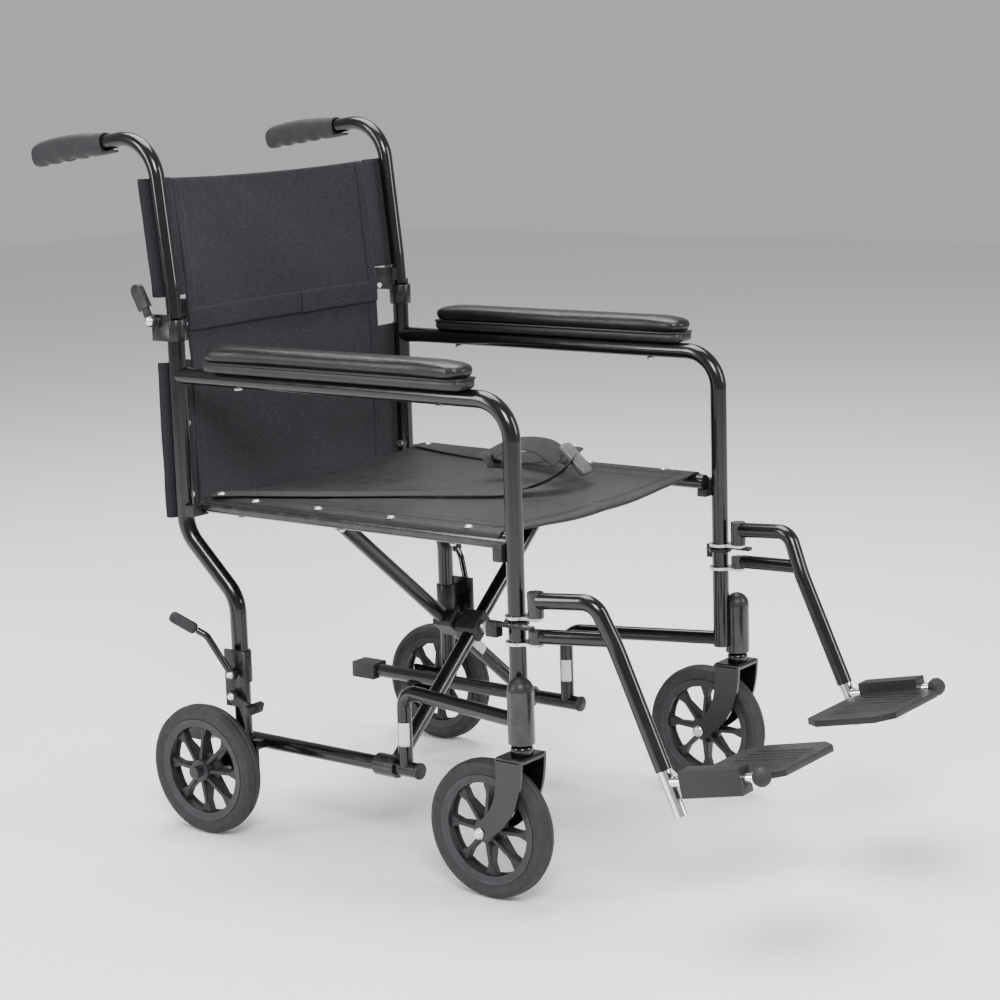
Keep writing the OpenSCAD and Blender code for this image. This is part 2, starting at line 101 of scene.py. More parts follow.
class Mat:
    """A node material in object space, built from a few small parts."""

    def __init__(self, name, color, rough, metal=0.0, coat=0.0, coat_rough=0.1, sheen=0.0, spec=0.34):
        self.m = bpy.data.materials.new(name)
        self.m.use_nodes = True
        self.tree = self.m.node_tree
        self.out = self.tree.nodes["Principled BSDF"]
        self.set("Base Color", (*color, 1.0))
        self.set("Roughness", rough)
        self.set("Metallic", metal)
        self.set("Coat Weight", coat)
        self.set("Coat Roughness", coat_rough)
        self.set("Sheen Weight", sheen)
        self.set("Specular IOR Level", spec)
        self.coord = self.tree.nodes.new("ShaderNodeTexCoord").outputs["Object"]
        self.color = None
        self.normal = None
        self.base = color

    def set(self, socket, value):
        self.out.inputs[socket].default_value = value

    def link(self, a, b):
        self.tree.links.new(a, b)

    def stretch(self, scale):
        n = self.tree.nodes.new("ShaderNodeMapping")
        n.inputs["Scale"].default_value = scale
        self.link(self.coord, n.inputs["Vector"])
        return n.outputs["Vector"]

    def noise(self, scale, detail=4.0, rough=0.55, vector=None):
        n = self.tree.nodes.new("ShaderNodeTexNoise")
        n.inputs["Scale"].default_value = scale
        n.inputs["Detail"].default_value = detail
        n.inputs["Roughness"].default_value = rough
        self.link(vector or self.coord, n.inputs["Vector"])
        return n.outputs["Fac"]

    def cells(self, scale):
        n = self.tree.nodes.new("ShaderNodeTexVoronoi")
        n.inputs["Scale"].default_value = scale
        self.link(self.coord, n.inputs["Vector"])
        return n.outputs["Distance"]

    def wave(self, scale, axis):
        n = self.tree.nodes.new("ShaderNodeTexWave")
        n.bands_direction = axis
        n.inputs["Scale"].default_value = scale
        n.inputs["Distortion"].default_value = 0.0
        self.link(self.coord, n.inputs["Vector"])
        return n.outputs["Fac"]

    def math(self, kind, a, b):
        n = self.tree.nodes.new("ShaderNodeMath")
        n.operation = kind
        for i, v in enumerate((a, b)):
            if isinstance(v, (int, float)):
                n.inputs[i].default_value = v
            else:
                self.link(v, n.inputs[i])
        return n.outputs[0]

    def span(self, value, low, high, to_low, to_high):
        n = self.tree.nodes.new("ShaderNodeMapRange")
        n.inputs["From Min"].default_value = low
        n.inputs["From Max"].default_value = high
        n.inputs["To Min"].default_value = to_low
        n.inputs["To Max"].default_value = to_high
        self.link(value, n.inputs["Value"])
        return n.outputs["Result"]

    def tint(self, factor, color):
        """Mix color over what is there, by factor."""
        n = self.tree.nodes.new("ShaderNodeMix")
        n.data_type = "RGBA"
        self.link(factor, n.inputs["Factor"])
        if self.color is None:
            n.inputs["A"].default_value = (*self.base, 1.0)
        else:
            self.link(self.color, n.inputs["A"])
        n.inputs["B"].default_value = (*color, 1.0)
        self.color = n.outputs["Result"]
        self.link(self.color, self.out.inputs["Base Color"])
        return self

    def rough(self, value, low, high):
        self.link(self.span(value, 0.3, 0.7, low, high), self.out.inputs["Roughness"])
        return self

    def bump(self, height, strength, distance):
        n = self.tree.nodes.new("ShaderNodeBump")
        n.inputs["Strength"].default_value = strength
        n.inputs["Distance"].default_value = distance
        self.link(height, n.inputs["Height"])
        if self.normal is not None:
            self.link(self.normal, n.inputs["Normal"])
        self.normal = n.outputs["Normal"]
        self.link(self.normal, self.out.inputs["Normal"])
        return self

    def edges(self, low, high, amount, color):
        g = self.tree.nodes.new("ShaderNodeNewGeometry").outputs["Pointiness"]
        worn = self.span(g, low, high, 0.0, amount)
        patchy = self.span(self.noise(60), 0.4, 0.65, 0.2, 1.0)
        return self.tint(self.math("MULTIPLY", worn, patchy), color)

    def weave(self, pitch, a, b, strength, distance):
        k = 0.3142 / pitch
        wa = self.wave(k, a)
        wb = self.wave(k, b)
        self.bump(self.math("MAXIMUM", wa, wb), strength, distance)
        return self.math("MULTIPLY", wa, wb)


def paint():
    p = Mat("frame_paint", (0.0035, 0.0035, 0.0042), 0.18, coat=0.3, coat_rough=0.05)
    p.rough(p.noise(35, 6), 0.13, 0.26)
    p.bump(p.noise(1400, 2), 0.04, 0.0003)
    p.bump(p.noise(220, 3), 0.03, 0.0004)
    p.tint(p.span(p.noise(18, 8, 0.65), 0.52, 0.75, 0.0, 0.2), (0.012, 0.012, 0.013))
    p.edges(0.54, 0.62, 0.4, (0.05, 0.05, 0.055))
    return p.m


def zinc(name="zinc", color=(0.66, 0.67, 0.69), low=0.2, high=0.42):
    p = Mat(name, color, 0.3, metal=1.0)
    p.rough(p.noise(160, 6, 0.6), low, high)
    p.bump(p.noise(700, 3, 0.6, p.stretch((1.0, 1.0, 0.12))), 0.08, 0.0004)
    p.tint(p.span(p.noise(45, 6), 0.45, 0.7, 0.0, 0.4), (0.42, 0.42, 0.44))
    return p.m


def plastic(name="plastic", color=(0.011, 0.0113, 0.0125), rough=(0.34, 0.50)):
    p = Mat(name, color, 0.45)
    p.rough(p.noise(120, 5), *rough)
    p.bump(p.cells(900), 0.10, 0.0004)
    p.tint(p.span(p.noise(22, 7, 0.6), 0.5, 0.75, 0.0, 0.3), tuple(c * 1.9 for c in color))
    p.edges(0.52, 0.60, 0.5, tuple(c * 3.2 for c in color))
    return p.m


def tyre():
    p = Mat("tyre", (0.014, 0.0145, 0.0165), 0.6, spec=0.4)
    p.rough(p.noise(90, 6), 0.55, 0.8)
    p.bump(p.noise(1100, 4), 0.22, 0.0005)
    p.tint(p.span(p.noise(26, 8, 0.7), 0.48, 0.72, 0.0, 0.45), (0.028, 0.028, 0.029))
    return p.m


def rubber():
    p = Mat("grip_rubber", (0.013, 0.0134, 0.0155), 0.6, spec=0.4)
    p.rough(p.noise(80, 6), 0.55, 0.78)
    p.bump(p.cells(1500), 0.25, 0.0005)
    p.tint(p.span(p.noise(30, 8, 0.7), 0.5, 0.75, 0.0, 0.4), (0.026, 0.026, 0.028))
    return p.m


def vinyl():
    p = Mat("vinyl", (0.0035, 0.0035, 0.0042), 0.34, coat=0.12, coat_rough=0.25)
    p.rough(p.noise(70, 5), 0.28, 0.46)
    p.bump(p.cells(420), 0.32, 0.0007)
    p.bump(p.noise(60, 5), 0.12, 0.002)
    p.tint(p.span(p.noise(14, 6), 0.5, 0.7, 0.0, 0.3), (0.014, 0.014, 0.016))
    return p.m


def back_cloth():
    p = Mat("back_cloth", (0.0115, 0.0120, 0.0152), 0.85, sheen=0.08, spec=0.2)
    p.set("Sheen Roughness", 0.45)
    thread = p.weave(0.0013, "X", "Z", 0.55, 0.0007)
    p.tint(p.span(thread, 0.2, 0.8, 0.55, 0.0), (0.007, 0.0072, 0.009))
    fleck = p.noise(620, 2, 0.7, p.stretch((0.35, 1.0, 1.0)))
    p.tint(p.span(fleck, 0.52, 0.68, 0.0, 0.55), (0.042, 0.044, 0.052))
    p.tint(p.span(p.noise(8, 6), 0.35, 0.7, 0.0, 0.25), (0.010, 0.0105, 0.013))
    p.bump(p.noise(26, 5), 0.18, 0.004)
    return p.m


def nylon():
    p = Mat("seat_nylon", (0.0062, 0.0065, 0.0080), 0.42, sheen=0.03, spec=0.36)
    p.rough(p.noise(40, 5), 0.34, 0.52)
    thread = p.weave(0.0009, "X", "Y", 0.35, 0.0005)
    p.tint(p.span(thread, 0.2, 0.9, 0.4, 0.0), (0.004, 0.004, 0.005))
    p.bump(p.noise(14, 5, 0.5, p.stretch((1.0, 0.45, 1.0))), 0.25, 0.006)
    p.tint(p.span(p.noise(10, 7), 0.5, 0.75, 0.0, 0.35), (0.016, 0.0165, 0.019))
    return p.m


def webbing():
    p = Mat("webbing", (0.006, 0.006, 0.007), 0.6, sheen=0.04)
    p.rough(p.noise(60, 5), 0.48, 0.68)
    thread = p.weave(0.0016, "DIAGONAL", "Y", 0.6, 0.0008)
    p.tint(p.span(thread, 0.1, 0.9, 0.5, 0.0), (0.0025, 0.0025, 0.003))
    return p.m


def plain(name, color, rough=0.5):
    p = Mat(name, color, rough)
    p.rough(p.noise(200, 4), rough - 0.08, rough + 0.1)
    p.bump(p.noise(900, 3), 0.08, 0.0003)
    p.tint(p.span(p.noise(70, 6), 0.5, 0.75, 0.0, 0.2), tuple(c * 0.8 for c in color))
    return p.m


PAINT = paint()
ZINC = zinc()
CHROME = zinc("chrome", (0.80, 0.81, 0.83), 0.08, 0.2)
PLASTIC = plastic()
WHEEL = plastic("wheel_plastic", (0.017, 0.018, 0.020), (0.40, 0.55))
TYRE = tyre()
RUBBER = rubber()
VINYL = vinyl()
CLOTH = back_cloth()
NYLON = nylon()
WEBBING = webbing()
THREAD = plain("thread", (0.030, 0.031, 0.034), 0.7)
LABEL = plain("blank_label", (0.62, 0.62, 0.60), 0.45)
BUCKLE = plastic("buckle_plastic", (0.085, 0.088, 0.092), (0.22, 0.34))
STEEL = plastic("black_steel", (0.007, 0.007, 0.008), (0.22, 0.36))


# ---------------------------------------------------------------- mesh helpers

def add(name, verts, faces, mat, smooth=True):
    mesh = bpy.data.meshes.new(name)
    mesh.from_pydata([tuple(v) for v in verts], [], faces)
    mesh.validate()
    mesh.materials.append(mat)
    obj = bpy.data.objects.new(name, mesh)
    bpy.context.scene.collection.objects.link(obj)
    bm = bmesh.new()
    bm.from_mesh(mesh)
    bmesh.ops.recalc_face_normals(bm, faces=bm.faces)
    bm.to_mesh(mesh)
    bm.free()
    for p in mesh.polygons:
        p.use_smooth = smooth
    return obj


def bake(obj):
    """Apply every modifier, so that the mesh is final."""
    bpy.context.view_layer.update()
    done = bpy.data.meshes.new_from_object(obj.evaluated_get(bpy.context.evaluated_depsgraph_get()))
    obj.modifiers.clear()
    obj.data = done
    return obj


def shade_smooth(obj):
    for p in obj.data.polygons:
        p.use_smooth = True


def subdivide(obj, levels):
    m = obj.modifiers.new("smooth", "SUBSURF")
    m.levels = m.render_levels = levels


def round_edges(obj, width, segments):
    m = obj.modifiers.new("round", "BEVEL")
    m.width = width
    m.segments = segments
    m.limit_method = "ANGLE"
    m.angle_limit = math.radians(40)
    m.harden_normals = True
    bake(obj)


def bridge(rings, sides, closed=False):
    """Faces between rings of points that follow each other in one list."""
    faces = []
    for i in range(rings if closed else rings - 1):
        n = (i + 1) % rings
        for j in range(sides):
            k = (j + 1) % sides
            faces.append((i * sides + j, i * sides + k, n * sides + k, n * sides + j))
    return faces


def grid(name, rows, mat, thick, sub=1):
    """A sheet through rows of points, given thickness and rounded by subdivision."""
    n = len(rows[0])
    verts = [p for row in rows for p in row]
    faces = [(i * n + j, i * n + j + 1, (i + 1) * n + j + 1, (i + 1) * n + j)
             for i in range(len(rows) - 1) for j in range(n - 1)]
    obj = add(name, verts, faces, mat)
    m = obj.modifiers.new("thickness", "SOLIDIFY")
    m.thickness = thick
    m.offset = 0.0
    if sub:
        subdivide(obj, sub)
    bake(obj)
    shade_smooth(obj)
    return obj


def stitches(name, lines, lift, pitch=0.0048, run=0.0033, r=0.00055):
    """Raised thread along lines of points; lift is the way out of the cloth."""
    verts, faces = [], []
    for line in lines:
        s = pitch / 2
        for a, b in zip(line, line[1:]):
            d = b - a
            while s < d.length:
                t = d.normalized()
                c = a + t * s + lift * r * 0.8
                side = t.cross(lift).normalized()
                k = len(verts)
                verts += [c - t * run / 2, c + side * r, c + lift * r,
                          c - side * r, c - lift * r, c + t * run / 2]
                faces += [(k, k + i, k + i % 4 + 1) for i in range(1, 5)]
                faces += [(k + 5, k + i % 4 + 1, k + i) for i in range(1, 5)]
                s += pitch
            s -= d.length
    return add(name, verts, faces, THREAD)


def lathe(name, at, axis, profile, mat, sides=28, slot=0.0):
    """A turned piece: profile is (radius, height) pairs from foot to tip; slot cuts a cross recess."""
    axis = Vector(axis).normalized()
    u = axis.orthogonal().normalized()
    v = axis.cross(u)
    verts = []
    for r, h in profile:
        for i in range(sides):
            a = 2 * math.pi * i / sides
            dip = 0.0
            if slot and r < slot and (abs(math.cos(2 * a)) > 0.92):
                dip = 0.0012
            verts.append(Vector(at) + axis * (h - dip) + (u * math.cos(a) + v * math.sin(a)) * r)
    n = len(profile)
    faces = bridge(n, sides)
    faces.append(tuple(range(sides))[::-1])
    faces.append(tuple((n - 1) * sides + i for i in range(sides)))
    return add(name, verts, faces, mat)


def screw(name, at, axis, body, r=0.0055, h=0.0028):
    prof = [(r * 1.35, 0.0), (r * 1.35, 0.0008), (r, 0.0009), (r, 0.0012), (r * 0.93, h * 0.7),
            (r * 0.75, h * 0.92), (r * 0.5, h), (r * 0.2, h)]
    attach(lathe(name, at, axis, prof, ZINC, slot=r * 0.6), body)


def soften(node, mat, width, segments=2):
    """The CAD piece again with its sharp edges rounded, standing for the CAD node."""
    src = frame["nodes"][node]
    mesh = src.data.copy()
    mesh.materials.clear()
    mesh.materials.append(mat)
    obj = bpy.data.objects.new(node + "_finish", mesh)
    bpy.context.scene.collection.objects.link(obj)
    bm = bmesh.new()
    bm.from_mesh(mesh)
    bmesh.ops.remove_doubles(bm, verts=bm.verts, dist=1e-6)
    bmesh.ops.dissolve_limit(bm, angle_limit=math.radians(1.0), verts=bm.verts, edges=bm.edges)
    bm.to_mesh(mesh)
    bm.free()
    shade_smooth(obj)
    round_edges(obj, width, segments)
    body = next(b for b, nodes in frame["record"]["behaviour"]["bodies"].items() if node in nodes)
    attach(obj, body)
    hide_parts(node)


def give(mat, *nodes):
    for n in nodes:
        obj = frame["nodes"][n]
        if obj.data.materials:
            for i in range(len(obj.data.materials)):
                obj.data.materials[i] = mat
        else:
            obj.data.materials.append(mat)


def both(name):
    return ["right_" + name, "left_" + name]


# ---------------------------------------------------------------- hard parts

give(PAINT, *both("side_frame"), *both("cane"), *both("hanger"), "brace_a", "brace_b", *both("brake_lever"))
give(TYRE, *both("rear_tyre"), *both("front_tyre"))
give(PLASTIC, *both("rear_axle"))
give(ZINC, *both("frame_bolts"), "brace_bolt", *both("hanger_pins"))
give(CHROME, *both("extension"))
for n in both("rear_wheel") + both("front_wheel"):
    give(WHEEL, n)
for n in both("saddles") + both("tip_pedal") + both("release"):
    soften(n, PLASTIC, 0.0015)
for n in both("hinge_plate") + both("brake_plate") + both("latch") + both("brake_shoe"):
    soften(n, STEEL, 0.0008)
for n in both("brake_grip"):
    soften(n, RUBBER, 0.0065, segments=5)
for n in both("footplate"):
    soften(n, PLASTIC, 0.0034, segments=4)

# grooves on the footplates and caps on their rods, in the plates' own tilt
TILT = math.radians(12)
EY = Vector((0, math.cos(TILT), -math.sin(TILT)))
EZ = Vector((0, math.sin(TILT), math.cos(TILT)))
for side, s in SIDES:
    pivot = Vector((s * 0.241, AX - 0.792, 0.196))
    verts, faces = [], []
    for i in range(8):
        u = 0.036 + i * 0.0155
        front, rear = -0.126 + 0.002 * (i % 2), -0.030 - 0.006 * (i % 2)
        ends = [(u + 0.010 * math.copysign(1, 3.5 - i), front), (u - 0.006, rear)]
        k = len(verts)
        for x, y in ends:
            for dx, dz in ((-0.0011, 0.0009), (-0.0006, 0.0016), (0.0006, 0.0016), (0.0011, 0.0009)):
                verts.append(pivot + Vector((-s * (x + dx), 0, 0)) + EY * y + EZ * dz)
        faces += [(k + j, k + j + 1, k + 5 + j, k + 4 + j) for j in range(3)]
        faces += [(k, k + 1, k + 2, k + 3), (k + 4, k + 5, k + 6, k + 7), (k, k + 3, k + 7, k + 4)]
    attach(add(side + "_plate_ribs", verts, faces, VINYL, smooth=False), side + "_footplate")
    turns = [math.pi * t / 14 for t in range(1, 14)]
    dome = [(0.0125 * math.sin(a), -0.0125 * math.cos(a)) for a in turns]
    dome = [(0.0127 if abs(h) < 0.004 else r, h) for r, h in dome]
    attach(lathe(side + "_rod_cap", pivot - EY * 0.126, -EY, dome, RUBBER), side + "_extension")


def pushed(name, outline, half, centre, mat, bevel=0.002, segments=3):
    """A flat piece in the Y-Z plane, pushed out to both sides in X and rounded."""
    n = len(outline)
    verts = [Vector((centre + d * half, y, z)) for d in (-1, 1) for y, z in outline]
    faces = [tuple(range(n)), tuple(range(2 * n - 1, n - 1, -1))]
    faces += [(i, (i + 1) % n, n + (i + 1) % n, n + i) for i in range(n)]
    obj = add(name, verts, faces, mat)
    round_edges(obj, bevel, segments)
    shade_smooth(obj)
    return obj


def merged(name, parts):
    """One object from several, in shared coordinates."""
    bm = bmesh.new()
    for o in parts:
        bm.from_mesh(o.data)
    mesh = bpy.data.meshes.new(name)
    bm.to_mesh(mesh)
    bm.free()
    mesh.materials.append(parts[0].data.materials[0])
    obj = bpy.data.objects.new(name, mesh)
    bpy.context.scene.collection.objects.link(obj)
    for o in parts:
        bpy.data.objects.remove(o)
    shade_smooth(obj)
    return obj


def bezier(p, t):
    """Point and slope at t on the curve with the four control points p."""
    u = 1 - t
    at = p[0] * u ** 3 + p[1] * 3 * t * u ** 2 + p[2] * 3 * t * t * u + p[3] * t ** 3
    slope = (p[1] - p[0]) * u ** 2 + (p[2] - p[1]) * 2 * t * u + (p[3] - p[2]) * t * t
    return at, slope


# turned profiles of the fasteners, as (radius, height)
AXLE_NUT = [(0.0088, 0.0), (0.0088, 0.0012), (0.0066, 0.0014),
            (0.0066, 0.0052), (0.0055, 0.0060), (0.0020, 0.0060)]
HINGE_NUT = [(0.0075, 0.0), (0.0075, 0.0010), (0.0058, 0.0012),
             (0.0058, 0.0045), (0.0046, 0.0054), (0.0015, 0.0056)]
LOCK_BOLT = [(0.0062, 0.0), (0.0062, 0.0008), (0.0048, 0.0010),
             (0.0048, 0.0034), (0.0036, 0.0040), (0.0012, 0.0041)]
FORK_STEM = [(0.0150, 0.0), (0.0150, 0.010), (0.0135, 0.0125),
             (0.0085, 0.0135), (0.0068, 0.0137), (0.0068, 0.074)]
LEG_X, LEG_END = 0.0265, 0.0125              # a fork leg from the wheel's middle, and the radius of its end

# swept forks of the front wheels
for side, s in SIDES:
    hub = middle(side + "_front_tyre")
    head = Vector((s * CASTER_X, hub.y - 0.054, 0.206))
    curve = [Vector((0, head.y + 0.003, 0.2055)), Vector((0, head.y + 0.001, 0.150)),
             Vector((0, head.y + 0.014, 0.122)), Vector((0, hub.y, hub.z))]
    front, rear = [], []
    for i in range(17):
        t = i / 16
        c, slope = bezier(curve, t)
        n = Vector((0, slope.z, -slope.y)).normalized()
        w = 0.0215 * (1 - t) + LEG_END * t
        front.append(c + n * w)
        rear.append(c - n * w)
    out = (front[-1] - hub).normalized()
    down = out.cross(Vector((-1, 0, 0)))
    turns = [math.pi * i / 8 for i in range(1, 8)]
    tip = [hub + (out * math.cos(a) + down * math.sin(a)) * LEG_END for a in turns]
    outline = [(q.y, q.z) for q in front + tip + rear[::-1]]
    parts = [pushed("leg", outline, 0.0026, s * CASTER_X + d * LEG_X, PAINT, 0.0014) for d in (-1, 1)]
    crown = [(head.y - 0.0185, 0.1985), (head.y + 0.0245, 0.1985),
             (head.y + 0.0245, 0.2068), (head.y - 0.0185, 0.2068)]
    parts.append(pushed("crown", crown, 0.0291, s * CASTER_X, PAINT, 0.0034, 4))
    parts.append(lathe("stem", head, (0, 0, 1), FORK_STEM, PAINT))
    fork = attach(merged(side + "_fork_forged", parts), side + "_fork")
    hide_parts(side + "_fork")
    for d in (-1, 1):
        at = Vector((s * CASTER_X + d * 0.0291, hub.y, hub.z))
        nut = lathe(f"{side}_axle_nut_{d}", at, (d, 0, 0), AXLE_NUT, ZINC, sides=6 if d == s else 28)
        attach(nut, side + "_fork")
    at = Vector((s * CASTER_X - 0.0291, hub.y, hub.z))
    axle = lathe(side + "_front_axle", at, (1, 0, 0), [(0.0062, 0.0), (0.0062, 0.0582)], ZINC)
    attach(axle, side + "_fork")


# moulded hand grips: domed ribs on top, finger scallops below, a tongue in front
for side, s in SIDES:
    drop = math.atan2(0.032, 0.236)
    along = Vector((0, math.cos(drop), -math.sin(drop)))
    up = Vector((0, math.sin(drop), math.cos(drop)))
    rear = Vector((s * SIDE, AX + 0.298, 0.983))
    long = 0.146
    ring, steps = 40, 110
    verts = []
    for i in range(steps + 1):
        t = i / steps
        d = t * long
        top = 0.0145 + 0.0060 * math.sin(math.pi * min(1.0, 0.12 + t * 0.95))
        top -= 0.004 * max(0.0, 1 - t / 0.10) ** 2
        rib = 0.0006 * (1 if (int(d / 0.0022) % 2 == 0) else -1) if 0.012 < d < long - 0.014 else 0.0
        wave = 0.5 - 0.5 * math.cos(2 * math.pi * (d - 0.010) / 0.0285) if 0.010 < d < 0.124 else 0.0
        bottom = 0.0172 - 0.0030 * wave
        end = min(1.0, math.sqrt(max(0.0, 1 - (1 - min(1.0, d / 0.006)) ** 2)) * 0.25 + 0.75)
        for j in range(ring):
            ang = 2 * math.pi * j / ring
            c, q = math.cos(ang), math.sin(ang)
            h = (top + (rib if q > 0.55 else 0.0)) if q > 0 else bottom
            x = 0.0150 * math.copysign(abs(c) ** 0.75, c) * end
            z = h * math.copysign(abs(q) ** 0.80, q) * end
            verts.append(rear - along * d + Vector((x, 0, 0)) + up * z)
    faces = bridge(steps + 1, ring)
    faces.append(tuple(range(ring)))
    hole = len(verts)
    r = 0.0118
    for depth in (0.0, 0.010):
        for j in range(ring):
            ang = 2 * math.pi * j / ring
            c, q = math.cos(ang), math.sin(ang)
            verts.append(rear - along * (long - depth) + Vector((r * c, 0, 0)) + up * r * q)
    for j in range(ring):
        k = (j + 1) % ring
        faces.append((steps * ring + j, steps * ring + k, hole + k, hole + j))
        faces.append((hole + j, hole + k, hole + ring + k, hole + ring + j))
    grip = add(side + "_grip_moulded", verts, faces, RUBBER)
    tongue = []
    across = [j / 4 - 1 for j in range(9)]
    for i in range(9):
        d = long - 0.006 + 0.026 * i / 8
        w = 0.0110 * math.sqrt(max(0.02, 1 - (i / 8) ** 3))
        c = rear - along * d
        tongue.append([c + Vector((w * q, 0, 0)) - up * (0.0152 - 0.0010 * q ** 2) for q in across])
    lip = grid("tongue", tongue, RUBBER, 0.0034)
    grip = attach(merged(side + "_grip_moulded_all", [grip, lip]), side + "_cane")
    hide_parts(side + "_grip")

# the nut on each back hinge, and the bolts of the wheel lock
for side, s in SIDES:
    at = Vector((s * 0.2852, AX + 0.058, 0.752))
    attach(lathe(side + "_hinge_nut", at, (s, 0, 0), HINGE_NUT, ZINC, sides=6), side + "_frame")
    places = (("_brake_lever", 0.285, -0.062, 0.247), ("_brake_shoe", 0.2832, -0.060, 0.214))
    for i, (body, x, y, z) in enumerate(places):
        at = Vector((s * x, AX + y, z))
        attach(lathe(f"{side}_lock_bolt_{i}", at, (s, 0, 0), LOCK_BOLT, ZINC, sides=6), side + body)

# moulded clamps that hold the two braces apart on their bolt
low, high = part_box("brace_bolt")
PIVOT_Z = (low.z + high.z) / 2
OCTAGON = ((0.021, 0.010), (0.017, 0.0145), (-0.017, 0.0145), (-0.021, 0.010),
           (-0.021, -0.010), (-0.017, -0.0145), (0.017, -0.0145), (0.021, -0.010))
CLAMPS = (("brace_a", 1, AX - 0.3032, AX - 0.2680), ("brace_b", -1, AX - 0.2620, AX - 0.2268))
for body, s, front, rear in CLAMPS:
    along = Vector((s * BRACE_RUN, 0, BRACE_RISE)).normalized()
    across = Vector((-along.z, 0, along.x))
    verts = []
    for y, grow in ((front, 0.90), (front + 0.0015, 1.0), (rear - 0.0015, 1.0), (rear, 0.90)):
        verts += [Vector((0, y, PIVOT_Z)) + (along * a + across * b) * grow for a, b in OCTAGON]
    faces = [tuple(range(7, -1, -1)), tuple(range(24, 32))] + bridge(4, 8)
    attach(add(body + "_clamp", verts, faces, PLASTIC, smooth=False), body)

# screws along the seat rails, blank labels on the frame
for side, s, body in SEAT_SIDES:
    for i, y in enumerate((-0.469, -0.336, -0.205, -0.088)):
        screw(f"{side}_seat_screw_{i}", (s * RAIL_X, AX + y, RAIL_TOP + 0.0024), (0, 0, 1), body)
    screw(f"{side}_belt_screw", (s * RAIL_X, AX - 0.022, RAIL_TOP + 0.0072), (0, 0, 1), body)
    for i, y in enumerate((-0.442, -0.248, -0.060)):
        at = (s * RAIL_X, AX + y, RAIL_TOP - 0.0222)
        screw(f"{side}_under_screw_{i}", at, (0, 0, -1), body, 0.004, 0.004)


def label(name, centre, along, radius, size, body, face):
    """Blank sticker bent round a tube; face is the way it looks."""
    along = Vector(along).normalized()
    face = Vector(face)
    face = (face - along * face.dot(along)).normalized()
    side = along.cross(face)
    rows = []
    for i in range(9):
        a = (i / 8 - 0.5) * size[1] / radius
        d = face * math.cos(a) + side * math.sin(a)
        rows.append([Vector(centre) + d * radius + along * (j / 6 - 0.5) * size[0] for j in range(7)])
    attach(grid(name, rows, LABEL, 0.0003, 0), body)


for side, s in SIDES:
    label(side + "_riser_label", (s * 0.199, AX - 0.312, 0.176), (0, 0, 1), 0.0107, (0.034, 0.018),
          side + "_frame", (-1, -0.5, 0))
label("brace_label", (0.061, AX - 0.240, 0.2365), (-BRACE_RUN, 0, BRACE_RISE), 0.0113, (0.032, 0.018),
      "brace_b", (-0.2, -1, 0.3))


# ---------------------------------------------------------------- back upholstery

BEHIND = 0.0150                              # from a tube's centre line to the cloth behind it
HALF = 0.214                                 # half the width of a back panel
# section of the doubled flap behind a tube, from the tube's centre line: across and back
FLAP = ((-0.0440, -0.0004), (-0.0340, -0.0001), (-0.0220, 0.0003), (-0.0120, 0.0002), (-0.0040, 0.0),
        (0.0030, 0.0010), (0.0075, 0.0036), (0.0100, 0.0070), (0.0110, 0.0105), (0.0112, 0.0135))


def cane_y(z):
    """Centre line of a cane: straight, then leaning back."""
    return AX + 0.036 + max(0.0, min(1.0, (z - 0.752) / 0.048)) * 0.003 + max(0.0, z - 0.800) * 0.107


def post_y(z):
    """Centre line of a rear post, which is upright, so z makes no difference."""
    return POST_Y


def ripple(p, amount):
    return noise.noise(p) * amount


def edge_rows(s, line, z0, z1, n):
    """Cloth that leaves the panel, passes behind the tube and ends in a doubled flap."""
    rows = []
    for i in range(n + 1):
        z = z0 + (z1 - z0) * i / n
        y = line(z) + BEHIND
        w = 0.0010 * noise.noise(Vector((s * 3.0, 0.5, z * 22)))
        rows.append([Vector((s * (SIDE + dx), y + dy + w * max(0.0, dy) * 100, z)) for dx, dy in FLAP])
    return rows


def panel_point(x, z, line, sagging, lift=0.0):
    """Point of a back panel: it sags between the tubes, and the lower one passes behind the upper hem."""
    f = 1.0 - (x / HALF) ** 2
    y = line(z) + BEHIND - 0.0002 + sagging * f - lift
    y += ripple(Vector((x * 5.0, 0.3, z * 12.0)), 0.0045) * f
    y += 0.0012 * math.sin(38 * z + 9 * x) * (1 - f) ** 2
    if line is post_y:
        y += 0.0065 * max(0.0, min(1.0, (z - 0.690) / 0.034)) * (0.35 + 0.65 * f)
    return Vector((x, y, z))


def panel_rows(line, z0, z1, sagging, nx=64, nz=34, dip=0.0, lift=0.0, x0=-HALF, x1=HALF):
    rows = []
    for i in range(nz + 1):
        row = []
        for j in range(nx + 1):
            x = x0 + (x1 - x0) * j / nx
            f = 1.0 - (x / HALF) ** 2
            z = z0 + (z1 - z0) * i / nz
            z -= dip * f * (z - z0) / (z1 - z0)
            row.append(panel_point(x, z, line, sagging, lift))
        rows.append(row)
    return rows


def squashed(obj, body):
    """Cloth attached to the body that carries it, with a mesh of its own."""
    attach(obj, body)
    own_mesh(obj)
    return obj


